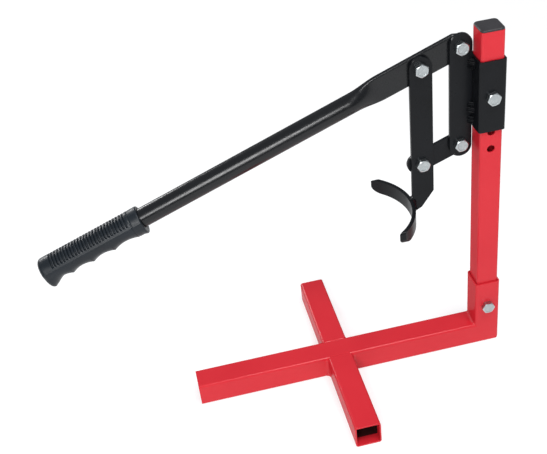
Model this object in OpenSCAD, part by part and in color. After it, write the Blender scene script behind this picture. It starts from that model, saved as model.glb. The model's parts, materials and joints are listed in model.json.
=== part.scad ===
// Hand-operated bead breaker: a cross-shaped base of square tube with an upright post,
// a sliding sleeve, a parallelogram linkage and a long lever that drives a curved foot.
// Millimetres. The post axis stands on the origin, the floor is z = 0, the beam runs
// towards -X and +Y points away from the side that carries the bolt heads.

/* [Base] */
// Outer width of the base tube and of the sleeve
tube_w = 35; // [30:0.5:40]
// Wall thickness of the base tube and of the sleeve
tube_wall = 2; // [1.5:0.5:3]
// Outer corner radius of the base tube and of the sleeve
tube_corner_r = 3.5; // [2.5:0.5:5]
// Distance from the post axis to the free end of the beam
beam_reach = 421; // [380:1:460]
// Distance from the post axis to the axis of the cross tubes
cross_reach = 217.5; // [200:0.5:240]
// Overall length across both cross tubes
cross_span = 313; // [280:1:340]
// Height of the upright socket above the floor
socket_h = 108; // [95:1:125]
// Height of the bolt that clamps the post in its socket
socket_bolt_z = 67; // [60:1:75]

/* [Post] */
// Outer width of the post tube
post_w = 30; // [28:0.5:30]
// Height of the post, cap included
post_h = 492; // [485:1:510]
// Pitch of the height-adjustment holes
hole_pitch = 25; // [24:0.5:26]
// Height of the lowest adjustment hole
first_hole_z = 327; // [320:1:330]
// Number of adjustment holes
hole_count = 5; // [4:1:6]
// Diameter of every bolt hole
hole_d = 10.5; // [10.2:0.1:11]

/* [Sleeve and bracket] */
// Length of the sleeve that carries the linkage
sleeve_l = 98; // [90:1:105]
// Thickness of the flat bar in the plate and the links
bar_t = 5; // [4:0.5:6]
// Width of the flat bar
bar_w = 29; // [26:1:30]
// Height of the upper pivot on the bracket plate
upper_pivot_z = 465; // [462:1:468]
// Vertical distance between the two pivots on the bracket plate
pivot_drop = 136; // [130:1:140]
// Front face of the bracket plate, measured from the post axis
plate_front_y = 7; // [5:0.5:8]

/* [Linkage] */
// Distance between the two pivots on the lever and on the lower link
arm_l = 54.5; // [53:0.5:58]
// Angle of the lever below horizontal at rest
rest_angle = 20.4; // [10:0.1:30]
// Gap between neighbouring layers of the linkage
layer_gap = 0.3; // [0.2:0.1:0.5]

/* [Lever] */
// Diameter of the lever tube
lever_d = 25.4; // [22:0.1:28]
// Wall of the lever tube
lever_wall = 2; // [1.5:0.5:3]
// Width of the flattened end of the lever
flat_w = 36; // [32:0.5:38]
// Thickness of the flattened end of the lever
flat_t = 6.4; // [5:0.1:8]
// Distance from the upper pivot to the far end of the grip
lever_reach = 590; // [540:1:620]
// Length of the grip
grip_l = 146; // [130:1:160]
// Largest diameter of the grip
grip_d = 38; // [34:0.5:40]

/* [Pressing foot] */
// Radius of the concave face of the foot
foot_r = 80; // [70:0.5:100]
// Length of the foot from tip to tip
foot_chord = 130; // [115:1:140]
// Height of the foot blade
foot_h = 20; // [16:1:24]
// Thickness of the foot blade
foot_t = 5; // [4:0.5:6]
// Height of the lower edge of the foot at rest
foot_z = 237.5; // [236:0.5:240]

/* [Fasteners] */
// Diameter of every bolt
bolt_d = 10; // [8:0.1:10]
// Width across flats of bolt heads and nuts
hex_af = 16; // [13:0.5:17]
// Height of a bolt head
head_h = 6.4; // [5:0.1:7]
// Height of the hexagon of a lock nut
nut_h = 7; // [6:0.1:8]

/* [Hidden] */
$fn = 64;
eps = 0.01;

half_w = tube_w / 2;
heel_r = 8;
cap_flange = 3;
cap_plug = 14;
post_top = post_h - cap_flange;
post_foot_z = heel_r;

sleeve_z = first_hole_z + 3 * hole_pitch - sleeve_l / 2 + 1;
sleeve_bolt_z = first_hole_z + 3 * hole_pitch;

// Pivot points, as [x, z]
upper_post = [-half_w - bar_w / 2, upper_pivot_z];
lower_post = [upper_post[0], upper_pivot_z - pivot_drop];
arm = arm_l * [-cos(rest_angle), -sin(rest_angle)];
upper_link = upper_post + arm;
lower_link_end = lower_post + arm;

// Layers of the linkage, front to back
plate_back_y = plate_front_y + bar_t;
rear_y = plate_back_y + layer_gap;
lever_y = rear_y + flat_t / 2;
lever_nut_y = rear_y + flat_t + layer_gap;
link_nut_y = rear_y + bar_t + layer_gap;

// How far each flat bar runs past its pivots
plate_tail = 18;
link_tail_post = 15.5;
link_tail_free = 19;
press_tail = 16;

// Diametral clearance of a turning hole, and of the pivot where the closed linkage is opened
running_gap = 0.16;
open_pivot_gap = 0.6;

// The stretch over which the lever tube is squeezed flat, from the upper pivot
flat_end = 112;
round_start = 145;
lever_tube_end = lever_reach - 6;
lever_nose = 14;
// Its cut-back corners: half width of the nose, the corner behind it as [x, z], the full-width start
nose_half = 4;
nose_corner = [11, 7.5];
nose_shoulder = -3;
slice_inset = 0.05;
slice_overlap = 2;

// Lock nuts: the round collar above the hexagon, and how far the bolt stands out of it
collar_h = 2.4;
nut_total = nut_h + collar_h;
bolt_stick_out = 1.5;

foot_mid_y = plate_front_y;
foot_gap = 0.1;
foot_top_corner_r = 3;
foot_low_corner_r = 10;
foot_centre_x = upper_link[0] - bar_w / 2 - foot_gap - foot_t - foot_r;
foot_top = foot_z + foot_h;

// Lower end of the pressing link: where its slanted lower edge turns
slant_rise = 29;
toe_rise = 6;
toe_x = 2;

// Weld beads, and the centres of the bracket's beads above the sleeve's lower edge
weld_d = 3.2;
front_weld_z = [8, 30, sleeve_l - 12];
back_weld_z = [18, sleeve_l - 30];
front_weld_half = 6;
back_weld_half = 8;

// ---- Shapes that repeat ----

// A square with rounded corners, centred on the origin
module rounded_square(w, r) {
    square([w, w - 2 * r], center = true);
    square([w - 2 * r, w], center = true);
    for (x = [-1, 1], y = [-1, 1])
        translate([x * (w / 2 - r), y * (w / 2 - r)]) circle(r);
}

// Section of a square tube
module tube_section(w, wall, r) {
    difference() {
        rounded_square(w, r);
        rounded_square(w - 2 * wall, max(r - wall, 0.8));
    }
}

// Square tube that stands on z = 0
module square_tube(w, wall, r, l) {
    linear_extrude(l) tube_section(w, wall, r);
}

// Base tube that lies along X or along Y, from the lower to the higher coordinate
module tube_along_x(x0, x1) {
    translate([x0, 0, half_w]) rotate([90, 0, 90])
        square_tube(tube_w, tube_wall, tube_corner_r, x1 - x0);
}

module tube_along_y(y0, y1) {
    translate([-cross_reach, y1, half_w]) rotate([90, 0, 0])
        square_tube(tube_w, tube_wall, tube_corner_r, y1 - y0);
}

// Cylinder along Y, from y0 to y1, at a point given as [x, z]
module rod_y(point, d, y0, y1) {
    translate([point[0], y1, point[1]]) rotate([90, 0, 0]) cylinder(d = d, h = y1 - y0);
}

// Cone along Y, from diameter d0 at y0 to diameter d1 at y1
module cone_y(point, d0, d1, y0, y1) {
    translate([point[0], y1, point[1]]) rotate([90, 0, 0]) cylinder(d1 = d1, d2 = d0, h = y1 - y0);
}

// Hexagonal prism along Y, with its corners trimmed by a chamfer at the face toward -Y
module hex_y(point, y0, y1, turn, chamfer_front) {
    corner_d = hex_af / cos(30);
    bevel = 1;
    intersection() {
        translate([point[0], y1, point[1]]) rotate([90, 0, 0]) rotate(turn)
            cylinder(d = corner_d, h = y1 - y0, $fn = 6);
        union() {
            rod_y(point, corner_d + 1, chamfer_front ? y0 + bevel : y0, chamfer_front ? y1 : y1 - bevel);
            if (chamfer_front) cone_y(point, hex_af - 0.6, corner_d + 1, y0, y0 + bevel);
            else cone_y(point, corner_d + 1, hex_af - 0.6, y1 - bevel, y1);
        }
    }
}

// Hex bolt whose head bears on the plane y = seat and whose shank ends at y = tip
module hex_bolt(point, seat, tip, turn = 0) {
    hex_y(point, seat - head_h, seat, turn, true);
    rod_y(point, bolt_d, seat, tip - 1);
    cone_y(point, bolt_d, bolt_d - 2, tip - 1, tip);
}

// Lock nut with a round collar, bearing on the plane y = seat
module lock_nut(point, seat, turn = 0) {
    difference() {
        union() {
            hex_y(point, seat, seat + nut_h, turn, false);
            rod_y(point, hex_af - 2, seat + nut_h - 1, seat + nut_h + collar_h);
        }
        rod_y(point, bolt_d, seat - 1, seat + nut_h + collar_h + 1);
    }
}

// Flat bar standing on edge with full-round ends, between the ends z0 and z1
module round_ended_bar(x, z0, z1, y) {
    r = bar_w / 2;
    translate([x, y + bar_t, 0]) rotate([90, 0, 0]) linear_extrude(bar_t) {
        translate([-r, z0 + r]) square([bar_w, z1 - z0 - bar_w]);
        translate([0, z0 + r]) circle(r);
        translate([0, z1 - r]) circle(r);
    }
}

// Places children in the lever's own frame: the upper pivot at the origin, outwards is -X
module in_lever_frame() {
    translate([upper_post[0], lever_y, upper_post[1]]) rotate([0, -rest_angle, 0]) children();
}

// ---- Base ----

// Half space on the beam's side of the mitre between beam and socket
module mitre_side(beam_side) {
    translate([half_w, 0, 0]) rotate([0, -45, 0])
        translate([beam_side ? -3 * tube_w : 0, -tube_w, -2 * tube_w])
            cube([3 * tube_w, 2 * tube_w, 6 * tube_w]);
}

// What is ground off the outer corner of the heel
module heel_cut() {
    translate([half_w - heel_r, 0, heel_r]) rotate([90, 0, 0])
        linear_extrude(2 * tube_w, center = true) difference() {
            translate([0, -2 * heel_r]) square(2 * heel_r);
            circle(heel_r);
        }
}

// Thickens the inside of the heel, so that its rounding leaves a full wall
module heel_fill() {
    sunk = 0.75 * tube_wall;
    side = heel_r - sunk;
    translate([half_w - heel_r, 0, heel_r]) rotate([90, 0, 0])
        linear_extrude(tube_w - 2 * sunk, center = true) difference() {
            translate([0, -side]) square(side);
            circle(heel_r - tube_wall);
        }
}

module base_beam() {
    color("crimson") difference() {
        union() {
            tube_along_x(-beam_reach, -tube_w);
            intersection() {
                union() {
                    tube_along_x(-tube_w, half_w);
                    heel_fill();
                }
                mitre_side(true);
            }
        }
        heel_cut();
    }
}

module post_socket() {
    color("crimson") difference() {
        union() {
            translate([0, 0, tube_w])
                square_tube(tube_w, tube_wall, tube_corner_r, socket_h - tube_w);
            intersection() {
                union() {
                    square_tube(tube_w, tube_wall, tube_corner_r, tube_w);
                    heel_fill();
                }
                mitre_side(false);
            }
        }
        rod_y([0, socket_bolt_z], hole_d, -tube_w, tube_w);
        heel_cut();
    }
}

module front_stub() {
    color("crimson") tube_along_y(-cross_span / 2, -half_w);
}

module rear_stub() {
    color("crimson") tube_along_y(half_w, cross_span / 2);
}

// Weld bead of round section, along X, Y or Z
module bead_x(x0, x1, y, z) {
    translate([x0, y, z]) rotate([0, 90, 0]) cylinder(d = weld_d, h = x1 - x0, $fn = 24);
}

module bead_y(x, y0, y1, z) {
    translate([x, y1, z]) rotate([90, 0, 0]) cylinder(d = weld_d, h = y1 - y0, $fn = 24);
}

module bead_z(x, y, z0, z1) {
    translate([x, y, z0]) cylinder(d = weld_d, h = z1 - z0, $fn = 24);
}

module base_welds() {
    flat = half_w - tube_corner_r;
    color("firebrick") {
        for (side = [-1, 1]) {
            for (x = [-half_w, half_w])
                bead_z(-cross_reach + x, side * half_w, tube_corner_r, tube_w - tube_corner_r);
            bead_x(-cross_reach - flat, -cross_reach + flat, side * half_w, tube_corner_r);
        }
        bead_y(-half_w, -flat, flat, tube_w);
    }
}

// ---- Post ----

module post() {
    color("red") difference() {
        translate([0, 0, post_foot_z]) square_tube(post_w, tube_wall, 3, post_top - post_foot_z);
        for (i = [0:hole_count - 1]) rod_y([0, first_hole_z + i * hole_pitch], hole_d, -post_w, post_w);
        rod_y([0, socket_bolt_z], hole_d, -post_w, post_w);
    }
}

module post_cap() {
    inner = post_w - 2 * tube_wall;
    color("dimgray") union() {
        translate([0, 0, post_top]) linear_extrude(cap_flange - 1) rounded_square(post_w, 3);
        translate([0, 0, post_h - 1]) linear_extrude(1) rounded_square(post_w - 2, 3);
        difference() {
            translate([0, 0, post_top - cap_plug]) linear_extrude(cap_plug + 1) rounded_square(inner, 1);
            translate([0, 0, post_top - cap_plug - 1]) linear_extrude(cap_plug) rounded_square(inner - 5, 1);
        }
    }
}

// ---- Sleeve and bracket ----

module sleeve() {
    color("#202022") difference() {
        translate([0, 0, sleeve_z]) square_tube(tube_w, tube_wall, tube_corner_r, sleeve_l);
        rod_y([0, sleeve_bolt_z], hole_d, -tube_w, tube_w);
    }
}

module bracket_plate() {
    color("#252527") difference() {
        round_ended_bar(upper_post[0], lower_post[1] - plate_tail, upper_post[1] + plate_tail, plate_front_y);
        rod_y(upper_post, bolt_d, 0, 2 * tube_w);
        rod_y(lower_post, bolt_d, 0, 2 * tube_w);
    }
}

module bracket_welds() {
    x = -half_w;
    color("#303032") {
        for (z = front_weld_z)
            bead_z(x, plate_front_y, sleeve_z + z - front_weld_half, sleeve_z + z + front_weld_half);
        for (z = back_weld_z)
            bead_z(x, plate_back_y, sleeve_z + z - back_weld_half, sleeve_z + z + back_weld_half);
    }
}

module sleeve_bolt() {
    color("silver") hex_bolt([0, sleeve_bolt_z], -half_w, half_w + nut_total + bolt_stick_out, 12);
}

module sleeve_nut() {
    color("silver") lock_nut([0, sleeve_bolt_z], half_w, 20);
}

module socket_bolt() {
    color("silver") hex_bolt([0, socket_bolt_z], -half_w, half_w + nut_total + bolt_stick_out, 0);
}

module socket_nut() {
    color("silver") lock_nut([0, socket_bolt_z], half_w, 5);
}

// ---- Lever ----

// Thin slices that the squeezed stretch runs between. Each lies just inside the solid it joins
module flat_slice(x) {
    r = flat_t / 2 - slice_inset;
    translate([x, 0, 0]) rotate([90, 0, 90]) linear_extrude(eps) {
        square([2 * r, flat_w - flat_t], center = true);
        for (z = [-1, 1]) translate([0, z * (flat_w - flat_t) / 2]) circle(r, $fn = 32);
    }
}

module round_slice(x) {
    translate([x, 0, 0]) rotate([0, 90, 0])
        cylinder(d = lever_d - 2 * slice_inset, h = eps, $fn = 48);
}

// Outline of the flattened end seen from the front, with its two corners cut back
module flat_outline() {
    h = flat_w / 2;
    polygon([
        [-flat_end, -h], [nose_shoulder, -h], [nose_corner[0], -nose_corner[1]],
        [lever_nose, -nose_half], [lever_nose, nose_half],
        nose_corner, [nose_shoulder, h], [-flat_end, h]
    ]);
}

module lever_tube() {
    color("#1c1c1e") in_lever_frame() union() {
        difference() {
            translate([0, flat_t / 2, 0]) rotate([90, 0, 0]) linear_extrude(flat_t) flat_outline();
            for (x = [0, -arm_l]) rotate([90, 0, 0])
                translate([x, 0, -flat_t]) cylinder(d = bolt_d + running_gap, h = 2 * flat_t);
        }
        hull() {
            flat_slice(slice_overlap - flat_end);
            round_slice(-round_start - slice_overlap);
        }
        translate([-lever_tube_end, 0, 0]) rotate([0, 90, 0]) difference() {
            cylinder(d = lever_d, h = lever_tube_end - round_start);
            translate([0, 0, -1])
                cylinder(d = lever_d - 2 * lever_wall, h = lever_tube_end - round_start - 10);
        }
    }
}

module lever_grip() {
    r = grip_d / 2;
    bore = lever_d / 2;
    collar = 9;
    color("#16181c") in_lever_frame() rotate([0, -90, 0]) rotate_extrude() polygon(concat(
        [[bore, lever_reach - grip_l], [r - 2, lever_reach - grip_l], [r - 1, lever_reach - grip_l + 1.5],
         [r - 1, lever_reach - grip_l + collar - 1], [r - 3, lever_reach - grip_l + collar + 1],
         [r - 2, lever_reach - 90], [r, lever_reach - 14]],
        [for (a = [0:15:90]) [(r - 8) + 8 * cos(a), lever_reach - 8 + 8 * sin(a)]],
        [[0, lever_reach], [0, lever_tube_end], [bore, lever_tube_end]]
    ));
}

// ---- Links and foot ----

module pressing_link() {
    r = bar_w / 2;
    top = upper_link[1] + press_tail;
    color("#252527") difference() {
        translate([upper_link[0], plate_back_y, 0]) rotate([90, 0, 0]) linear_extrude(bar_t) union() {
            translate([0, top - r]) circle(r);
            polygon([
                [-r, top - r], [-r, foot_z], [1 - r, foot_z], [-toe_x, foot_z + toe_rise],
                [r, foot_z + slant_rise], [r, top - r]
            ]);
        }
        rod_y(upper_link, bolt_d, 0, 2 * tube_w);
        rod_y(lower_link_end, bolt_d, 0, 2 * tube_w);
    }
}

// Outline of the foot blade seen along X, with its lower corners rounded more than its upper ones
module foot_outline() {
    half = foot_chord / 2;
    low = foot_low_corner_r;
    high = foot_top_corner_r;
    translate([foot_mid_y, 0]) {
        for (side = [-1, 1]) {
            translate([side * (half - low), foot_z + low]) circle(low);
            translate([side * (half - high), foot_top - high]) circle(high);
        }
        translate([low - half, foot_z]) square([foot_chord - 2 * low, foot_h]);
        translate([high - half, foot_z + low]) square([foot_chord - 2 * high, foot_h - low]);
        translate([-half, foot_z + low]) square([foot_chord, foot_h - low - high]);
    }
}

module press_foot() {
    color("#252527") intersection() {
        translate([foot_centre_x, foot_mid_y, foot_z]) difference() {
            cylinder(r = foot_r + foot_t, h = foot_h, $fn = 128);
            translate([0, 0, -1]) cylinder(r = foot_r, h = foot_h + 2, $fn = 128);
        }
        translate([foot_centre_x + foot_r / 2, 0, 0]) rotate([90, 0, 90])
            linear_extrude(foot_r) foot_outline();
    }
}

module foot_welds() {
    x = upper_link[0] - bar_w / 2 - foot_gap + 0.5;
    color("#303032") for (y = [plate_front_y, plate_back_y]) bead_z(x, y, foot_z + 1, foot_top + 1);
}

module lower_link() {
    r = bar_w / 2;
    color("#252527") difference() {
        translate([lower_post[0], rear_y + bar_t, lower_post[1]]) rotate([90, 0, 0])
            rotate(rest_angle) linear_extrude(bar_t) {
                translate([r - arm_l - link_tail_free, -r])
                    square([arm_l + link_tail_free + link_tail_post - bar_w, bar_w]);
                translate([r - arm_l - link_tail_free, 0]) circle(r);
                translate([link_tail_post - r, 0]) circle(r);
            }
        rod_y(lower_post, bolt_d + running_gap, 0, 2 * tube_w);
        rod_y(lower_link_end, bolt_d + open_pivot_gap, 0, 2 * tube_w);
    }
}

// ---- Pivot fasteners ----

module pivot_bolt(point, nut_y, turn) {
    color("silver") hex_bolt(point, plate_front_y, nut_y + nut_total + bolt_stick_out, turn);
}

module upper_post_bolt() { pivot_bolt(upper_post, lever_nut_y, 25); }
module lower_post_bolt() { pivot_bolt(lower_post, link_nut_y, 8); }
module upper_link_bolt() { pivot_bolt(upper_link, lever_nut_y, 28); }
module lower_link_bolt() { pivot_bolt(lower_link_end, link_nut_y, 2); }

module upper_post_nut() { color("silver") lock_nut(upper_post, lever_nut_y, 10); }
module lower_post_nut() { color("silver") lock_nut(lower_post, link_nut_y, 40); }
module upper_link_nut() { color("silver") lock_nut(upper_link, lever_nut_y, 22); }
module lower_link_nut() { color("silver") lock_nut(lower_link_end, link_nut_y, 15); }

base_beam();
post_socket();
front_stub();
rear_stub();
base_welds();
post();
post_cap();
sleeve();
bracket_plate();
bracket_welds();
sleeve_bolt();
sleeve_nut();
socket_bolt();
socket_nut();
lever_tube();
lever_grip();
pressing_link();
press_foot();
foot_welds();
lower_link();
upper_post_bolt();
upper_post_nut();
lower_post_bolt();
lower_post_nut();
upper_link_bolt();
upper_link_nut();
lower_link_bolt();
lower_link_nut();
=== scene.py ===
"""Looks of the hand bead breaker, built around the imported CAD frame. Metres, in the CAD's own axes."""

import json
import math
import random

import bmesh
import bpy
from mathutils import Matrix, Vector


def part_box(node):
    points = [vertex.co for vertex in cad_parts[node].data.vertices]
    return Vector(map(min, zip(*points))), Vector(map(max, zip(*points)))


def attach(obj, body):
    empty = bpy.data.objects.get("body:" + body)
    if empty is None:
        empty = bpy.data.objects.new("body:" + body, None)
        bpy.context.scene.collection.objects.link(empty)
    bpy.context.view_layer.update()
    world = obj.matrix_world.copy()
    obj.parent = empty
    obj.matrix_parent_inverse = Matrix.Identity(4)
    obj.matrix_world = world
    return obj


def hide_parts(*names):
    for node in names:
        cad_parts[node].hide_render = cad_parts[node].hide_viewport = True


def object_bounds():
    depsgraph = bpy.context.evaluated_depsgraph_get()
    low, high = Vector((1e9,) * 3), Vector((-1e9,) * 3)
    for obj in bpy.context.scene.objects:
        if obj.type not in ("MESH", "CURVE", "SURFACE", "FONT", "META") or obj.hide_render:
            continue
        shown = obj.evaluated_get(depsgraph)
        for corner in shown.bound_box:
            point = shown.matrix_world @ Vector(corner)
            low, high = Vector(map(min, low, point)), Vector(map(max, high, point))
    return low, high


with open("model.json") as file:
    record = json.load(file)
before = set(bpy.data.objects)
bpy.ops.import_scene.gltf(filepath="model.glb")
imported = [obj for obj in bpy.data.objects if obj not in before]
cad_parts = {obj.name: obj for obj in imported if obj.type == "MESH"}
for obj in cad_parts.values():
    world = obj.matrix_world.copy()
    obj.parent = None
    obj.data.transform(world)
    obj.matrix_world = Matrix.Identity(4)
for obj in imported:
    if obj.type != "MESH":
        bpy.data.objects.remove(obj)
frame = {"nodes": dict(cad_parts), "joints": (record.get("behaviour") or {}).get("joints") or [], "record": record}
NODES = frame["nodes"]
CAD_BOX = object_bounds()
MM = 0.001
TUBE_WALL = 2 * MM
WAVER = random.Random(7)

# ---------------------------------------------------------------- places taken from the frame

JOINT = {j["name"]: j for j in frame["joints"]}
PIVOT = Vector(JOINT["lever_pivot"]["pos_m"])
LINK_PIVOT = Vector(JOINT["presser_pivot"]["pos_m"])
OUT = (LINK_PIVOT - PIVOT).normalized()  # along the lever, away from the post
BACK = Vector((0, 1, 0))
UP = BACK.cross(OUT)  # across the lever, upwards

# ---------------------------------------------------------------- helpers


def new_mesh(name, verts, faces):
    """A mesh object in the scene, with outward normals."""
    mesh = bpy.data.meshes.new(name)
    mesh.from_pydata([tuple(v) for v in verts], [], faces)
    bm = bmesh.new()
    bm.from_mesh(mesh)
    bmesh.ops.recalc_face_normals(bm, faces=bm.faces)
    bm.to_mesh(mesh)
    bm.free()
    piece = bpy.data.objects.new(name, mesh)
    bpy.context.scene.collection.objects.link(piece)
    return piece


def smooth(piece, angle=35):
    """Smooth faces, with sharp edges above the angle in degrees."""
    piece.data.polygons.foreach_set("use_smooth", [True] * len(piece.data.polygons))
    piece.data.set_sharp_from_angle(angle=math.radians(angle))
    return piece


def loft(name, rings, closed=False):
    """Skins rings of equal length. The two ends are closed, or the last ring joins the first."""
    count = len(rings[0])
    verts = [p for ring in rings for p in ring]
    faces = []
    for i in range(len(rings) if closed else len(rings) - 1):
        a, b = i * count, (i + 1) % len(rings) * count
        for j in range(count):
            k = (j + 1) % count
            faces.append((a + j, a + k, b + k, b + j))
    if not closed:
        faces.append(tuple(range(count)))
        faces.append(tuple(range(len(verts) - count, len(verts))))
    return new_mesh(name, verts, faces)


def join(name, pieces):
    """One mesh object out of several."""
    verts, faces = [], []
    for piece in pieces:
        base = len(verts)
        verts += [v.co.copy() for v in piece.data.vertices]
        faces += [tuple(base + i for i in f.vertices) for f in piece.data.polygons]
        bpy.data.objects.remove(piece)
    return new_mesh(name, verts, faces)


def settle(piece, body, slot, material, *nodes):
    """Gives a piece its body, look and the CAD nodes that it replaces; the slot argument is not used."""
    piece.data.materials.clear()
    piece.data.materials.append(material)
    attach(piece, body)
    if nodes:
        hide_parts(*nodes)
    return piece


def ease(x):
    """Smooth step from 0 to 1."""
    x = min(max(x, 0.0), 1.0)
    return x * x * (3 - 2 * x)


def blend(a, b, t):
    """The value a share t of the way from a to b."""
    return a + (b - a) * t


# ---------------------------------------------------------------- materials


class Look:
    """A node material with a Principled shader and shorthand for the nodes that feed it."""

    def __init__(self, name, **sockets):
        self.material = bpy.data.materials.new(name)
        self.material.use_nodes = True
        self.nodes = self.material.node_tree.nodes
        self.links = self.material.node_tree.links
        self.shader = self.nodes["Principled BSDF"]
        for key, value in sockets.items():
            self.shader.inputs[key.replace("_", " ")].default_value = value
        self.coord = self.nodes.new("ShaderNodeTexCoord").outputs["Object"]

    def noise(self, scale, detail, roughness=0.55):
        node = self.nodes.new("ShaderNodeTexNoise")
        node.inputs["Scale"].default_value = scale
        node.inputs["Detail"].default_value = detail
        node.inputs["Roughness"].default_value = roughness
        self.links.new(self.coord, node.inputs["Vector"])
        return node.outputs["Fac"]

    def cells(self, scale):
        node = self.nodes.new("ShaderNodeTexVoronoi")
        node.inputs["Scale"].default_value = scale
        self.links.new(self.coord, node.inputs["Vector"])
        return node.outputs["Distance"]

    def ramp(self, source, low, high):
        """Colour ramp between two stops, each (position, colour or grey)."""
        node = self.nodes.new("ShaderNodeValToRGB")
        for element, (position, value) in zip(node.color_ramp.elements, (low, high)):
            element.position = position
            element.color = (*value, 1) if isinstance(value, tuple) else (value, value, value, 1)
        self.links.new(source, node.inputs["Fac"])
        return node.outputs["Color"]

    def mix(self, fac, a, b):
        """Mixes two colours, each a socket or a tuple."""
        node = self.nodes.new("ShaderNodeMix")
        node.data_type = "RGBA"
        for socket, value in (("Factor", fac), (6, a), (7, b)):
            target = node.inputs[socket]
            if isinstance(value, bpy.types.NodeSocket):
                self.links.new(value, target)
            else:
                target.default_value = (*value, 1)
        return node.outputs[2]

    def edges(self, low, high, strength):
        """A painted highlight: up to the strength on convex edges, from the shape's own pointiness."""
        geometry = self.nodes.new("ShaderNodeNewGeometry")
        return self.ramp(geometry.outputs["Pointiness"], (low, 0.0), (high, strength))

    def gloss(self, facing, grazing):
        """A specular level that falls towards grazing angles, so that side faces don't mirror the floor."""
        weight = self.nodes.new("ShaderNodeLayerWeight")
        weight.inputs["Blend"].default_value = 0.5
        level = self.ramp(weight.outputs["Facing"], (0.47, facing), (0.66, grazing))
        self.feed("Specular IOR Level", level)

    def feed(self, name, source):
        self.links.new(source, self.shader.inputs[name])

    def bump(self, *layers):
        """Stacks bumps, each (height socket, depth in metres, strength)."""
        below = None
        for height, depth, strength in layers:
            node = self.nodes.new("ShaderNodeBump")
            node.inputs["Distance"].default_value = depth
            node.inputs["Strength"].default_value = strength
            self.links.new(height, node.inputs["Height"])
            if below:
                self.links.new(below, node.inputs["Normal"])
            below = node.outputs["Normal"]
        self.links.new(below, self.shader.inputs["Normal"])


def red_powder_coat():
    look = Look("red_powder_coat", IOR=1.5)
    look.gloss(0.25, 0.01)
    tone = look.ramp(look.noise(9, 3), (0.3, (0.53, 0.016, 0.026)), (0.7, (0.57, 0.021, 0.031)))
    dust = look.ramp(look.noise(60, 4, 0.6), (0.60, 0.0), (0.85, 0.02))
    look.feed("Base Color", look.mix(dust, tone, (0.66, 0.14, 0.14)))
    look.feed("Roughness", look.ramp(look.noise(140, 3), (0.3, 0.19), (0.7, 0.25)))
    look.bump((look.noise(650, 2, 0.4), 0.0001, 0.05), (look.noise(70, 2), 0.0005, 0.06))
    return look.material


def black_paint(name, grey, rough, peel, shine):
    look = Look(name, IOR=1.5)
    look.gloss(shine, shine * 0.5)
    # painted reflection: the blue tint of the base stands in for the cool sheen of the lights
    low, high = (grey, grey * 1.1, grey * 1.3), (grey * 1.5, grey * 1.7, grey * 2.1)
    tone = look.ramp(look.noise(14, 4), (0.3, low), (0.7, high))
    dust = look.ramp(look.noise(85, 7, 0.72), (0.60, 0.0), (0.88, 0.07))
    look.feed("Base Color", look.mix(dust, tone, (0.08, 0.085, 0.09)))
    look.feed("Roughness", look.ramp(look.noise(120, 4), (0.3, rough - 0.04), (0.7, rough + 0.06)))
    look.bump((look.noise(700, 2, 0.45), 0.0001, peel), (look.noise(90, 2), 0.0005, 0.08))
    return look.material


def zinc_plate():
    look = Look("zinc_plate", Metallic=1.0)
    tone = look.ramp(look.noise(260, 5, 0.6), (0.3, (0.36, 0.39, 0.40)), (0.7, (0.46, 0.49, 0.495)))
    # painted highlight: lighter grey on the convex edges, for the bright rims of the heads
    look.feed("Base Color", look.mix(look.edges(0.52, 0.62, 0.8), tone, (0.62, 0.66, 0.68)))
    look.feed("Roughness", look.ramp(look.noise(420, 4, 0.65), (0.3, 0.30), (0.75, 0.38)))
    look.bump((look.noise(900, 3, 0.6), 0.00003, 0.08))
    return look.material


def cap_plastic():
    look = Look("cap_plastic", IOR=1.46)
    tone = look.ramp(look.noise(60, 4), (0.3, (0.018, 0.017, 0.019)), (0.7, (0.028, 0.026, 0.029)))
    look.feed("Base Color", tone)
    look.feed("Roughness", look.ramp(look.noise(300, 3), (0.3, 0.42), (0.7, 0.54)))
    look.bump((look.noise(1500, 2), 0.0001, 0.5))
    return look.material


def grip_vinyl():
    look = Look("grip_vinyl", IOR=1.47, Specular_IOR_Level=0.36)
    # painted sheen: the blue tint of the base stands in for the cool highlight on the grip's top
    tone = look.ramp(look.noise(22, 4), (0.3, (0.0050, 0.0078, 0.011)), (0.7, (0.008, 0.012, 0.017)))
    # painted highlight: lighter blue-grey on the convex rib edges
    look.feed("Base Color", look.mix(look.edges(0.52, 0.58, 0.6), tone, (0.035, 0.042, 0.052)))
    look.feed("Roughness", look.ramp(look.noise(180, 4), (0.3, 0.34), (0.7, 0.46)))
    look.bump((look.cells(1900), 0.00005, 0.3), (look.noise(260, 3), 0.0002, 0.10))
    return look.material


def nylon():
    look = Look("nylon", IOR=1.5)
    tone = look.ramp(look.noise(400, 3), (0.3, (0.50, 0.52, 0.53)), (0.7, (0.62, 0.63, 0.64)))
    look.feed("Base Color", tone)
    look.feed("Roughness", look.ramp(look.noise(600, 2), (0.3, 0.35), (0.7, 0.5)))
    look.bump((look.noise(1500, 2), 0.00005, 0.3))
    return look.material


def painted_bore_shade():
    # painted shade: a dark red for the shaded inside of the open tubes
    look = Look("painted_bore_shade", IOR=1.5, Specular_IOR_Level=0.1)
    tone = look.ramp(look.noise(45, 5), (0.3, (0.020, 0.004, 0.004)), (0.7, (0.045, 0.009, 0.009)))
    look.feed("Base Color", tone)
    look.feed("Roughness", look.ramp(look.noise(200, 4), (0.3, 0.6), (0.7, 0.8)))
    look.bump((look.noise(500, 3), 0.0001, 0.3))
    return look.material


def floor_paper():
    look = Look("floor_paper", Emission_Color=(1, 1, 1, 1), Emission_Strength=0.63)
    tone = look.ramp(look.noise(3, 3), (0.3, (0.40, 0.40, 0.40)), (0.7, (0.43, 0.43, 0.43)))
    look.feed("Base Color", tone)
    look.feed("Roughness", look.ramp(look.noise(40, 3), (0.3, 0.75), (0.7, 0.9)))
    look.bump((look.noise(300, 3), 0.0002, 0.1))
    return look.material


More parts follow.
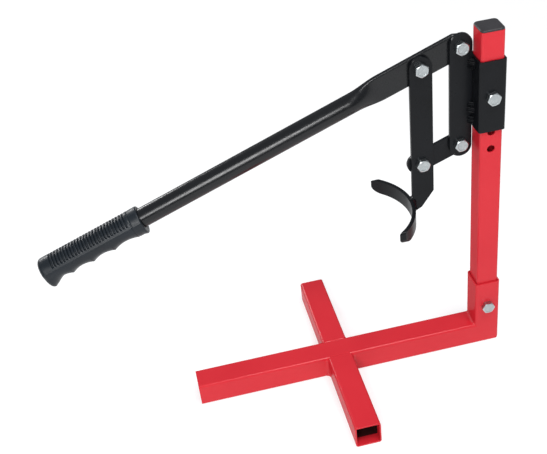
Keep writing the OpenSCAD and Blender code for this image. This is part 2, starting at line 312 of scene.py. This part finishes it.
RED = red_powder_coat()
BLACK = black_paint("satin_black_paint", 0.0042, 0.30, 0.16, 0.15)
GLOSS_BLACK = black_paint("semi_gloss_black_paint", 0.0032, 0.24, 0.01, 0.36)
ZINC = zinc_plate()
CAP = cap_plastic()
VINYL = grip_vinyl()
NYLON = nylon()
BORE_SHADE = painted_bore_shade()
LOOK_OF_SLOT = {
    "red_coat": RED, "black_paint": BLACK, "lever_paint": GLOSS_BLACK,
    "zinc": ZINC, "cap_plastic": CAP, "grip_vinyl": VINYL,
}

# ---------------------------------------------------------------- CAD nodes that stay

FLUSH_NODES = {"base_beam", "post_socket"}  # their mitre is ground flush, so its edges stay crisp
MERGE_GAP = 0.002 * MM
EDGE_WIDTH = 0.5 * MM
MERGE_ANGLE = math.radians(0.6)
BEVEL_ANGLE = math.radians(38)
CREASE_ANGLE = math.radians(32)


def dress_cad_nodes():
    """Every CAD node gets its slot's look, merged flats and clean shading, and all but the flush nodes get
    softened edges.
    """
    for part in frame["record"]["subparts"]:
        piece = NODES[part["node"]]
        piece.data.materials.clear()
        piece.data.materials.append(LOOK_OF_SLOT[part["material_slot"]])
        piece.modifiers.new("Seams", "WELD").merge_threshold = MERGE_GAP
        merge = piece.modifiers.new("Merge flats", "DECIMATE")
        merge.decimate_type = "DISSOLVE"
        merge.angle_limit = MERGE_ANGLE
        if part["node"] not in FLUSH_NODES:
            soften = piece.modifiers.new("Soft edges", "BEVEL")
            soften.width = EDGE_WIDTH
            soften.segments = 3
            soften.limit_method = "ANGLE"
            soften.angle_limit = BEVEL_ANGLE
        crease = piece.modifiers.new("Creases", "EDGE_SPLIT")
        crease.split_angle = CREASE_ANGLE
        crease.use_edge_sharp = False
        flatten = piece.modifiers.new("Flat faces", "WEIGHTED_NORMAL")
        flatten.weight = 100
        flatten.keep_sharp = True
        piece.data.polygons.foreach_set("use_smooth", [True] * len(piece.data.polygons))


# ---------------------------------------------------------------- lever

LEVER_R = 12.7 * MM
FLAT_W = 36 * MM
FLAT_T = 6.4 * MM
FLAT_END = 112 * MM
ROUND_START = 145 * MM
SHOULDER = 6 * MM  # how far the change of section eases into the flat and into the tube
LEVER_END = 584 * MM
LEVER_RING = 64
SHOULDER_STEPS = 36
TUBE_STEPS = 23
# The nose, cut back at both corners: distance out and full width, in millimetres
NOSE = ((-14, 7), (-13.4, 9.4), (-11, 15), (-4, 29), (3, FLAT_W / MM), (4.5, FLAT_W / MM))


def stadium(width, thick):
    """Points round a flattened tube by arc length, as (y, up), from the middle of its front."""
    r = thick / 2
    flat = max(width - thick, 0)
    total = 2 * flat + 2 * math.pi * r

    def at(s):
        if s < flat / 2:
            return (-r, s)
        s -= flat / 2
        if s < math.pi * r:
            return (-r * math.cos(s / r), flat / 2 + r * math.sin(s / r))
        s -= math.pi * r
        if s < flat:
            return (r, flat / 2 - s)
        s -= flat
        if s < math.pi * r:
            return (r * math.cos(s / r), -flat / 2 - r * math.sin(s / r))
        return (-r, s - math.pi * r - flat / 2)

    return [at(total * i / LEVER_RING) for i in range(LEVER_RING)]


def lever_point(out, y, up):
    return PIVOT + OUT * out + BACK * y + UP * up


def lever_ring(out, width, thick, roundness):
    """One section of the lever: a squeezed outline that turns into the round tube."""
    flat, full = stadium(width, thick), stadium(2 * LEVER_R, 2 * LEVER_R)
    return [
        lever_point(out, blend(a[0], b[0], roundness), blend(a[1], b[1], roundness))
        for a, b in zip(flat, full)
    ]


def make_lever():
    rings = [lever_ring(out * MM, width * MM, FLAT_T, 0) for out, width in NOSE]
    start, end = FLAT_END - SHOULDER, ROUND_START + SHOULDER
    for i in range(SHOULDER_STEPS + 1):
        t = i / SHOULDER_STEPS
        rings.append(lever_ring(blend(start, end, t), FLAT_W, FLAT_T, ease(t)))
    for i in range(1, TUBE_STEPS + 1):
        rings.append(lever_ring(blend(end, LEVER_END, i / TUBE_STEPS), FLAT_W, FLAT_T, 1))
    lever = smooth(loft("lever_tube_detail", rings), 40)
    settle(lever, "lever", "lever_paint", GLOSS_BLACK, "lever_tube")


# ---------------------------------------------------------------- grip

GRIP_START = 444 * MM
GRIP_END = 590 * MM
GRIP_RING = 104
GRIP_STEP = 0.40 * MM
GRIP_R = 18.3 * MM
GRIP_DROP = 1.6 * MM  # thinner on top and thicker below by this much
BELOW_FROM = math.radians(92)
BELOW_EASE = math.radians(62)
COLLAR = 13 * MM
COLLAR_GROOVE = 0.7 * MM
COLLAR_GROOVE_HALF = 1.3 * MM
COLLAR_LIP = 1.3 * MM
COLLAR_LIP_END = 7 * MM
COLLAR_LIP_EASE = 6 * MM
RIB_PITCH = 4.3 * MM
RIB_FROM = GRIP_START + 17 * MM
RIB_COUNT = 26
RIB_TO = RIB_FROM + (RIB_COUNT - 0.5) * RIB_PITCH
RIB_DEPTH = 2.3 * MM
RIB_GAP_SHARE = 0.60
RIB_FLANK_SHARE = 0.14
PANEL_HALF = math.radians(66)
PANEL_EASE = math.radians(5)
PANEL_STEP = 0.55 * MM
STEP_FROM = PANEL_HALF + math.radians(3)
STEP_EASE = math.radians(4)
STEP_END = math.radians(100)
STEP_FADE = math.radians(24)
RIDGES = [458 * MM, 493 * MM, 524 * MM, 554 * MM, 583 * MM]
GROOVE_DEPTH = 3.6 * MM
GROOVE_POWER = 0.85  # below 1, the grooves are rounder than a sine
FLARE = 4.6 * MM
FLARE_FROM = GRIP_END - 27 * MM
FLARE_EASE = 19 * MM
BORE_GAP = 0.02 * MM
MOUTH_R = 1.5 * MM
MOUTH_CUT = 0.6 * MM
MOUTH_STEPS = 4
DOME_DEPTH = 7 * MM
DOME_STEPS = 10
TIP_STEPS = 7
DOME_SHARE = 0.8  # of the end's depth; the flatter tip takes the rest
TIP_R_SHARE = 0.66
TIP_POINT_R = 0.3 * MM


def rib_depth(s, edge):
    """How deep the grip is cut between the ribs of the panel on its top."""
    if not RIB_FROM < s < RIB_TO:
        return 0.0
    phase = (s - RIB_FROM) / RIB_PITCH % 1
    groove = ease(phase / RIB_FLANK_SHARE) * ease((RIB_GAP_SHARE - phase) / RIB_FLANK_SHARE)
    inside = ease((PANEL_HALF - edge) / PANEL_EASE)
    return RIB_DEPTH * groove * inside


def finger_depth(s):
    """How deep the finger grooves are at distance s."""
    for low, high in zip(RIDGES, RIDGES[1:]):
        if low < s < high:
            return GROOVE_DEPTH * math.sin(math.pi * (s - low) / (high - low)) ** GROOVE_POWER
    return 0.0


def grip_radius(s, turn):
    """Radius of the grip at distance s along the lever; turn is 0 on top and pi underneath."""
    edge = abs(turn)
    below = ease((edge - BELOW_FROM) / BELOW_EASE)
    r = GRIP_R - GRIP_DROP * math.cos(edge)
    r -= rib_depth(s, edge) + finger_depth(s) * below
    r += FLARE * below * ease((s - FLARE_FROM) / FLARE_EASE)
    # a collar at the near end, marked off by a shallow groove, with a lip underneath
    r -= COLLAR_GROOVE * ease(1 - abs(s - GRIP_START - COLLAR) / COLLAR_GROOVE_HALF)
    r += COLLAR_LIP * below * ease((GRIP_START + COLLAR_LIP_END - s) / COLLAR_LIP_EASE)
    # a straight step below the rib panel, which fades out further down
    rise = ease((edge - STEP_FROM) / STEP_EASE)
    fade = ease((STEP_END - edge) / STEP_FADE)
    r += PANEL_STEP * rise * fade
    return r


def grip_ring(s, radius_at):
    """A ring about the lever at distance s. radius_at gives the radius for a turn from the top."""
    points = []
    for i in range(GRIP_RING):
        turn = 2 * math.pi * i / GRIP_RING
        radius = radius_at(turn if turn <= math.pi else turn - 2 * math.pi)
        points.append(lever_point(s, -radius * math.sin(turn), radius * math.cos(turn)))
    return points


def grip_mouth(first):
    """The bore over the tube's end, and the rounded lip that leads to the skin at distance first."""
    bore = LEVER_R + BORE_GAP
    rings = [
        grip_ring(LEVER_END, lambda t: bore),
        grip_ring(GRIP_START + MOUTH_CUT, lambda t: bore),
        grip_ring(GRIP_START, lambda t: bore + MOUTH_CUT),
    ]
    for k in range(MOUTH_STEPS):
        a = math.pi / 2 * k / MOUTH_STEPS
        s = first - MOUTH_R * math.cos(a)
        inset = MOUTH_R * (1 - math.sin(a))
        rings.append(grip_ring(s, lambda t, inset=inset: grip_radius(first, t) - inset))
    return rings


def grip_dome(last):
    """The far end: a rounded shoulder and a flatter tip."""
    rings = []
    for k in range(1, DOME_STEPS + 1):
        a = math.pi / 2 * k / DOME_STEPS
        s = last + DOME_SHARE * DOME_DEPTH * math.sin(a)
        f = 1 - (1 - TIP_R_SHARE) * (1 - math.cos(a))
        rings.append(grip_ring(s, lambda t, f=f: grip_radius(last, t) * f))
    for k in range(1, TIP_STEPS + 1):
        f = 1 - k / TIP_STEPS
        s = last + DOME_DEPTH * (DOME_SHARE + (1 - DOME_SHARE) * (1 - f * f))
        rings.append(grip_ring(s, lambda t, f=f: max(grip_radius(last, t) * TIP_R_SHARE * f, TIP_POINT_R)))
    return rings


def make_grip():
    first, last = GRIP_START + MOUTH_R, GRIP_END - DOME_DEPTH
    rings = grip_mouth(first)
    count = round((last - first) / GRIP_STEP)
    for i in range(count + 1):
        s = blend(first, last, i / count)
        rings.append(grip_ring(s, lambda t, s=s: grip_radius(s, t)))
    rings += grip_dome(last)
    grip = smooth(loft("lever_grip_detail", rings), 55)
    settle(grip, "lever", "grip_vinyl", VINYL, "lever_grip")


# ---------------------------------------------------------------- bolts and nuts

HEX_AF = 16 * MM
HEAD_H = 6.4 * MM
NUT_H = 7 * MM
BOLT_R = 5 * MM
THREAD_PITCH = 1.5 * MM
THREAD_DEPTH = 0.75 * MM
THREAD_L = 9 * MM
RINGS_PER_TURN = 7
HEX_RING = 96
CORNER_CUT = 0.3 * MM
CHAMFER_R = 0.93 * HEX_AF / 2
CHAMFER_SLOPE = math.tan(math.radians(30))
POINT_R = 0.2 * MM  # closes the middle of a face
DISH_R = 5.6 * MM
DISH_RIM_R = 6.1 * MM
DISH_DEPTH = 0.25 * MM
EDGE_CUT = 0.5 * MM
TIP_CUT = 0.9 * MM
COLLAR_R = 7.0 * MM
COLLAR_BORE_R = 5.9 * MM
# Radius and height from the nut's top, in millimetres
COLLAR_TOP = ((6.9, -0.7), (6.5, -0.15), (6.1, 0), (5.9, -0.3))
INSERT = ((5, -1.6), (5.88, -1.6), (5.88, -0.5), (5.5, -0.35), (5, -0.6))
BOLT_BODY = {
    "sleeve_bolt": "frame", "socket_bolt": "frame", "upper_post_bolt": "frame", "lower_post_bolt": "frame",
    "upper_link_bolt": "presser", "lower_link_bolt": "presser",
}


def hex_turn(node, axis):
    """The angle of a hexagon's corner, read off the CAD node."""
    corner = max((v.co for v in NODES[node].data.vertices), key=lambda p: (p - axis).xz.length)
    return math.atan2(corner.z - axis.z, corner.x - axis.x)


def hex_radius(angle):
    """Distance from the axis to the flats, with the corners slightly cut."""
    away = (angle + math.pi / 6) % (math.pi / 3) - math.pi / 6
    flat = HEX_AF / 2 / math.cos(math.pi / 6 - abs(away))
    return min(flat, HEX_AF / 2 / math.cos(math.pi / 6) - CORNER_CUT)


def turned_ring(axis, profile, turn=0.0):
    """A ring about an axis along Y. The profile gives (radius, y) for an angle from the corner."""
    ring = []
    for i in range(HEX_RING):
        angle = 2 * math.pi * i / HEX_RING
        radius, y = profile(angle)
        x = axis.x + radius * math.cos(angle + turn)
        ring.append(Vector((x, y, axis.z + radius * math.sin(angle + turn))))
    return ring


def plain(radius, y):
    """A round profile."""
    return lambda angle: (radius, y)


def chamfered(y, sign):
    """The hexagon's outline where the round chamfer cuts it; sign is the way into the metal."""
    return lambda angle: (
        hex_radius(angle), y + sign * CHAMFER_SLOPE * max(hex_radius(angle) - CHAMFER_R, 0)
    )


def hexagon(y):
    """The full hexagon's profile."""
    return lambda angle: (hex_radius(angle), y)


def thread(y, start, end):
    """A helical thread that fades in after its start and out before its end."""

    def at(angle):
        phase = (y / THREAD_PITCH - angle / (2 * math.pi)) % 1
        depth = THREAD_DEPTH * (1 - abs(2 * phase - 1))
        depth *= ease((y - start) / THREAD_PITCH) * ease((end - y) / (0.4 * THREAD_PITCH))
        return (BOLT_R - depth, y)

    return at


def make_bolt(node):
    """A hexagon bolt with a dished head, a plain shank and a threaded end."""
    low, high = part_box(node)
    axis = (low + high) / 2
    turn = hex_turn(node, axis)
    face, seat, tip = low.y, low.y + HEAD_H, high.y
    profiles = [
        plain(POINT_R, face + DISH_DEPTH), plain(DISH_R, face + DISH_DEPTH), plain(DISH_RIM_R, face),
        plain(CHAMFER_R, face), chamfered(face, 1), hexagon(seat - EDGE_CUT), hexagon(seat),
        plain(BOLT_R, seat), plain(BOLT_R, tip - THREAD_L),
    ]
    steps = round(THREAD_L / THREAD_PITCH * RINGS_PER_TURN)
    for i in range(1, steps):
        profiles.append(thread(blend(tip - THREAD_L, tip, i / steps), tip - THREAD_L, tip - EDGE_CUT))
    profiles += [plain(BOLT_R - TIP_CUT, tip), plain(POINT_R, tip)]
    bolt = smooth(loft(node + "_detail", [turned_ring(axis, p, turn) for p in profiles]), 24)
    settle(bolt, BOLT_BODY[node], "zinc", ZINC, node)


def make_nut(node, body):
    """A lock nut: the hexagon, its round collar and the plastic insert inside the collar."""
    low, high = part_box(node)
    axis = (low + high) / 2
    turn = hex_turn(node, axis)
    seat, shoulder, top = low.y, low.y + NUT_H, high.y
    profiles = [
        plain(BOLT_R, seat), plain(CHAMFER_R, seat), chamfered(seat, 1), chamfered(shoulder, -1),
        plain(CHAMFER_R, shoulder), plain(COLLAR_R, shoulder + 0.3 * MM),
        *(plain(radius * MM, top + height * MM) for radius, height in COLLAR_TOP),
        plain(COLLAR_BORE_R, shoulder), plain(BOLT_R, shoulder),
    ]
    nut = smooth(loft(node + "_detail", [turned_ring(axis, p, turn) for p in profiles], closed=True), 24)
    settle(nut, body, "zinc", ZINC, node)
    insert = [plain(radius * MM, top + height * MM) for radius, height in INSERT]
    ring = smooth(loft(node + "_insert", [turned_ring(axis, p) for p in insert], closed=True), 40)
    settle(ring, body, "cap_plastic", NYLON)


def make_fasteners():
    for node, body in BOLT_BODY.items():
        make_bolt(node)
        make_nut(node.replace("_bolt", "_nut"), body)


# ---------------------------------------------------------------- post cap


# Inset from the box's sides, corner radius and height above the flange's seat, in millimetres
CAP_ROWS = (
    (4.6, 1, -14), (2.4, 1.4, -13), (2.1, 1.4, -0.3), (0.4, 4.2, 0.02), (-0.1, 4.6, 0.5),
    (-0.15, 4.7, 1.5), (0.15, 4.7, 2.2), (0.8, 4.6, 2.75), (1.8, 4.4, 3.0), (4.5, 4.2, 3.15),
    (9, 3.5, 3.3), (13.5, 1, 3.35),
)
CAP_FLANGE = 3 * MM
CAP_STEPS = 12


def rounded_square(half, corner, steps):
    """Points round a square with rounded corners, each corner in this many steps."""
    points = []
    for quarter, (sx, sy) in enumerate(((1, 1), (-1, 1), (-1, -1), (1, -1))):
        for k in range(steps + 1):
            a = math.pi / 2 * (quarter + k / steps)
            x = sx * (half - corner) + corner * math.cos(a)
            y = sy * (half - corner) + corner * math.sin(a)
            points.append((x, y))
    return points


def make_cap():
    low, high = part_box("post_cap")
    centre = (low + high) / 2
    seat = high.z - CAP_FLANGE
    rings = []
    for inset, corner, height in CAP_ROWS:
        half = (high.x - low.x) / 2 - inset * MM
        outline = rounded_square(half, min(corner * MM, half * 0.98), CAP_STEPS)
        rings.append([Vector((centre.x + x, centre.y + y, seat + height * MM)) for x, y in outline])
    settle(smooth(loft("post_cap_detail", rings), 50), "frame", "cap_plastic", CAP, "post_cap")


# ---------------------------------------------------------------- welds


BEAD_STEP = 0.45 * MM
BEAD_ARC = 8
BEAD_TAPER = 2.2 * MM
RIPPLE_PITCH = 2.4 * MM
SWAY_PITCH = 7 * MM
NEAT, LUMPY, ROUGH = 0.05, 0.14, 0.17  # how strongly a bead ripples
CROWNED = -0.10  # a hollow below zero: the bead swells outwards
STUB_LEG = 5.5 * MM
HEEL_LEG = 4.5 * MM
BRACKET_LEG = 6.5 * MM
FOOT_LEG = 5.0 * MM
STUB_BEAD_FROM = 0.6 * MM
STUB_BEAD_SHORT = 3.2 * MM
HEEL_BEAD_END = 2.5 * MM
LUMP_OVERHANG = 1 * MM
SEAM_WIDE = 2.6 * MM
SEAM_TALL = 0.95 * MM
SEAM_END = 3 * MM
SEAM_SUNK = 0.75 * MM
SEAM_SWAY = 3 * MM
SEAM_STEPS = 40
SEAM_RING = 10
ROOT = 0.6 * MM  # how far a bead's root lies inside the corner
TOE = 0.25 * MM  # how far its toes lie inside the faces


def fillet(corner, axis, length, side_a, side_b, leg, ripple, hollow=0.32):
    """A weld in the inner corner between two faces, with a rippled skin and tapered ends."""
    axis, side_a, side_b = Vector(axis), Vector(side_a), Vector(side_b)
    steps = max(round(length / BEAD_STEP), 8)
    phase, sway = WAVER.uniform(0, 6), WAVER.uniform(0, 6)
    rings = []
    for i in range(steps + 1):
        s = length * i / steps
        to_end = min(max(min(s, length - s), 0.0), BEAD_TAPER)
        taper = 0.35 + 0.65 * math.sqrt(to_end / BEAD_TAPER)
        wave = 1 + ripple * math.sin(2 * math.pi * s / RIPPLE_PITCH + phase)
        size = leg * taper * wave * (1 + 0.07 * math.sin(s / SWAY_PITCH + sway))
        place = corner + axis * s
        ring = [place - (side_a + side_b) * ROOT]
        for k in range(BEAD_ARC + 1):
            t = k / BEAD_ARC
            sag = 1 - hollow * math.sin(math.pi * t)
            skin = (side_a * (1 - t) + side_b * t) * size * sag
            sunk = side_b * TOE * (1 - t) + side_a * TOE * t
            ring.append(place + skin - sunk)
        rings.append(ring)
    return loft("bead", rings)


def make_base_welds():
    """Fillets where the two stubs meet the beam, and inside the heel of the post socket."""
    low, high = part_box("front_stub")
    socket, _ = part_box("post_socket")
    half = -high.y
    height = high.z
    parts = []
    for y in (-1, 1):
        for x, way in ((low.x, -1), (high.x, 1)):
            corner = Vector((x, y * half, STUB_BEAD_FROM))
            sides = ((way, 0, 0), (0, y, 0))
            parts.append(fillet(corner, (0, 0, 1), height - STUB_BEAD_SHORT, *sides, STUB_LEG, NEAT))
        flush = Vector((low.x + SEAM_END, y * half, height - SEAM_SUNK))
        parts.append(ground_seam(flush, high.x - low.x - 2 * SEAM_END))
    inner = Vector((socket.x, socket.y + HEEL_BEAD_END, height))
    depth = -2 * (socket.y + HEEL_BEAD_END)
    parts.append(fillet(inner, (0, 1, 0), depth, (-1, 0, 0), (0, 0, 1), HEEL_LEG, NEAT))
    settle(smooth(join("base_weld_beads", parts), 50), "frame", "red_coat", RED, "base_welds")


def ground_seam(start, length):
    """A weld along X that is ground nearly flush: a low, wide bead."""
    rings = []
    phase = WAVER.uniform(0, 6)
    for i in range(SEAM_STEPS + 1):
        s = length * i / SEAM_STEPS
        wide = SEAM_WIDE * (1 + 0.1 * math.sin(s / SEAM_SWAY + phase))
        ring = []
        for k in range(SEAM_RING):
            a = 2 * math.pi * k / SEAM_RING
            ring.append(start + Vector((s, wide * math.cos(a), SEAM_TALL * math.sin(a))))
        rings.append(ring)
    return loft("bead", rings)


FRONT_BEADS = ((3, 12), (20, 15), (80, 15))  # height above the sleeve's foot and length, mm
BACK_BEADS = ((10, 16), (60, 18))


def make_bracket_welds():
    """Rough fillets between the bracket plate and the side of the sleeve."""
    parts = []
    low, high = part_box("bracket_plate")
    sleeve_low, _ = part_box("sleeve")
    for y, way, stretches in ((low.y, -1, FRONT_BEADS), (high.y, 1, BACK_BEADS)):
        for start, length in stretches:
            corner = Vector((sleeve_low.x, y, sleeve_low.z + start * MM))
            sides = ((-1, 0, 0), (0, way, 0))
            parts.append(
                fillet(corner, (0, 0, 1), length * MM, *sides, BRACKET_LEG, ROUGH, CROWNED)
            )
    beads = smooth(join("bracket_weld_beads", parts), 50)
    settle(beads, "frame", "black_paint", GLOSS_BLACK, "bracket_welds")


def make_foot_welds():
    """Fillets between the foot blade and the edge of the pressing link."""
    low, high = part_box("foot_welds")
    link, link_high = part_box("pressing_link")
    length = high.z - low.z
    parts = []
    for y, way in ((link.y, -1), (link_high.y, 1)):
        corner = Vector((link.x, y, low.z))
        sides = ((1, 0, 0), (0, way, 0))
        parts.append(fillet(corner, (0, 0, 1), length, *sides, FOOT_LEG, LUMPY, CROWNED))
    # a lump where the link's edge stands on the blade's top
    _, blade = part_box("press_foot")
    corner = Vector((link.x, link.y - LUMP_OVERHANG, blade.z))
    thick = link_high.y - link.y + 2 * LUMP_OVERHANG
    sides = ((-1, 0, 0), (0, 0, 1))
    parts.append(fillet(corner, (0, 1, 0), thick, *sides, FOOT_LEG, LUMPY, CROWNED))
    settle(smooth(join("foot_weld_beads", parts), 50), "presser", "black_paint", GLOSS_BLACK, "foot_welds")


# ---------------------------------------------------------------- painted shade inside the open tubes

BORE_DEPTH = 90 * MM
BORE_INSET = 14 * MM  # past the coated lip at the tube's mouth
LINER_T = 0.15 * MM
LINER_GAP = 0.05 * MM
LINER_STEPS = 6


def square_ring(centre, way, half, corner):
    """A square ring with rounded corners, square to a level direction."""
    side = Vector((-way.y, way.x, 0))
    outline = rounded_square(half, corner, LINER_STEPS)
    return [centre + side * across + Vector((0, 0, up)) for across, up in outline]


def make_bore_shade(name, mouth, way, half):
    """A thin dark red liner inside a square tube, from just inside its mouth: painted shade deep in the tube."""
    way = Vector(way)
    outer, inner = half - LINER_GAP, half - LINER_GAP - LINER_T
    near, far = mouth + way * BORE_INSET, mouth + way * BORE_DEPTH
    rings = [
        square_ring(near, way, outer, 1.2 * MM), square_ring(far, way, outer, 1.2 * MM),
        square_ring(far, way, inner, 1.1 * MM), square_ring(near, way, inner, 1.1 * MM),
    ]
    settle(smooth(loft(name, rings, closed=True), 30), "frame", "red_coat", BORE_SHADE)


def make_bore_shades():
    """Dark liners that paint the shade in the three open ends of the base."""
    beam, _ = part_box("base_beam")
    low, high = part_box("front_stub")
    _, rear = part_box("rear_stub")
    mid_z = high.z / 2
    half = mid_z - TUBE_WALL
    mid_x = (low.x + high.x) / 2
    make_bore_shade("front_stub_bore_shade", Vector((mid_x, low.y, mid_z)), (0, 1, 0), half)
    make_bore_shade("rear_stub_bore_shade", Vector((mid_x, rear.y, mid_z)), (0, -1, 0), half)
    make_bore_shade("base_beam_bore_shade", Vector((beam.x, 0, mid_z)), (1, 0, 0), half)


# ---------------------------------------------------------------- camera, floor and light

EYE = Vector((-0.4266, -1.0438, 1.0285))
FORWARD = Vector((0.10793, 0.80270, -0.58654))
ROLL_DEGREES = -7.29
SENSOR_MM = 36
LENS_MM = 66.68
FLOOR_HALF = 6.0
HORIZON = (0.20, 0.21, 0.225, 1)
OVERHEAD = (0.48, 0.50, 0.53, 1)


def aim(thing, location, target, roll=0.0):
    """Points a camera or a light at a target, turned about its own axis by roll degrees."""
    thing.location = location
    thing.rotation_mode = "QUATERNION"
    look = (Vector(target) - Vector(location)).to_track_quat("-Z", "Y")
    thing.rotation_quaternion = look @ Matrix.Rotation(math.radians(roll), 4, "Z").to_quaternion()


def make_camera():
    camera = bpy.data.objects.new("camera", bpy.data.cameras.new("camera"))
    bpy.context.scene.collection.objects.link(camera)
    camera.data.sensor_width = SENSOR_MM
    camera.data.lens = LENS_MM
    aim(camera, EYE, EYE + FORWARD, ROLL_DEGREES)
    bpy.context.scene.camera = camera


def area_light(name, direction, distance, size, power):
    """A soft box that shines at the middle of the object from a direction."""
    middle = (CAD_BOX[0] + CAD_BOX[1]) / 2
    data = bpy.data.lights.new(name, "AREA")
    data.shape = "RECTANGLE"
    data.size, data.size_y = size
    data.energy = power
    light = bpy.data.objects.new(name, data)
    bpy.context.scene.collection.objects.link(light)
    aim(light, middle + Vector(direction).normalized() * distance, middle)


def make_world():
    """A pale studio, brighter overhead than at the horizon."""
    world = bpy.data.worlds.new("studio")
    world.use_nodes = True
    nodes, links = world.node_tree.nodes, world.node_tree.links
    split = nodes.new("ShaderNodeSeparateXYZ")
    links.new(nodes.new("ShaderNodeTexCoord").outputs["Generated"], split.inputs[0])
    ramp = nodes.new("ShaderNodeValToRGB")
    ramp.color_ramp.elements[0].color = HORIZON
    ramp.color_ramp.elements[1].color = OVERHEAD
    links.new(split.outputs["Z"], ramp.inputs["Fac"])
    links.new(ramp.outputs["Color"], nodes["Background"].inputs["Color"])
    bpy.context.scene.world = world


def make_stage():
    """A plain floor under the object, the studio's world and three soft boxes."""
    low = CAD_BOX[0].z
    signs = ((-1, -1), (1, -1), (1, 1), (-1, 1))
    corners = [(x * FLOOR_HALF, y * FLOOR_HALF, low) for x, y in signs]
    floor = new_mesh("floor", corners, [(0, 1, 2, 3)])
    floor.data.materials.append(floor_paper())
    make_world()
    area_light("key", (-0.30, -0.80, 0.51), distance=2.6, size=(0.7, 1.1), power=42)
    area_light("overhead", (0.22, -0.35, 0.91), distance=2.4, size=(1.0, 0.7), power=34)
    area_light("back", (-0.45, 0.80, 0.32), distance=2.4, size=(0.7, 0.35), power=15)
    bpy.context.scene.view_settings.view_transform = "Standard"


# ---------------------------------------------------------------- everything

make_camera()
make_stage()
dress_cad_nodes()
make_lever()
make_grip()
make_fasteners()
make_cap()
make_base_welds()
make_bracket_welds()
make_foot_welds()
make_bore_shades()
